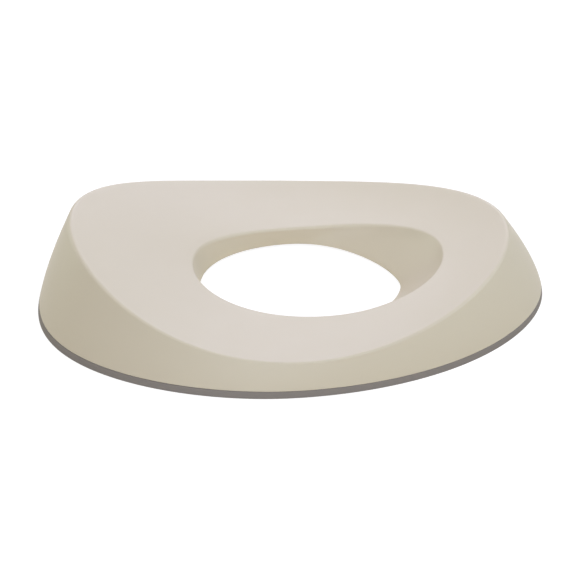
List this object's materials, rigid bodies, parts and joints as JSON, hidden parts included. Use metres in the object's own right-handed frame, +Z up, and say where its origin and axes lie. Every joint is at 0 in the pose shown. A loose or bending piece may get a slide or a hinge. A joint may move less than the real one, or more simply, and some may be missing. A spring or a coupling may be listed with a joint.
{
  "type": "potty training seat",
  "caption": "Saddle-shaped child seat ring with a splash guard and a soft non-slip rim, laid on an adult toilet seat for potty training.",
  "frame": {"origin": "middle of the seat's footprint, on the plane of the rim's flat underside", "axes": "+X to the front of the seat with the splash guard, +Y to the sitting child's left, +Z up"},
  "size_m": [0.3908, 0.3008, 0.0677],
  "materials": {
    "shell_plastic": "warm pale beige polypropylene moulding with a fine satin texture",
    "rim_rubber": "soft grey non-slip rubber, matt"
  },
  "bodies": {
    "root": {"seat_shell": "shell_plastic", "non_slip_rim": "rim_rubber"}
  },
  "joints": []
}
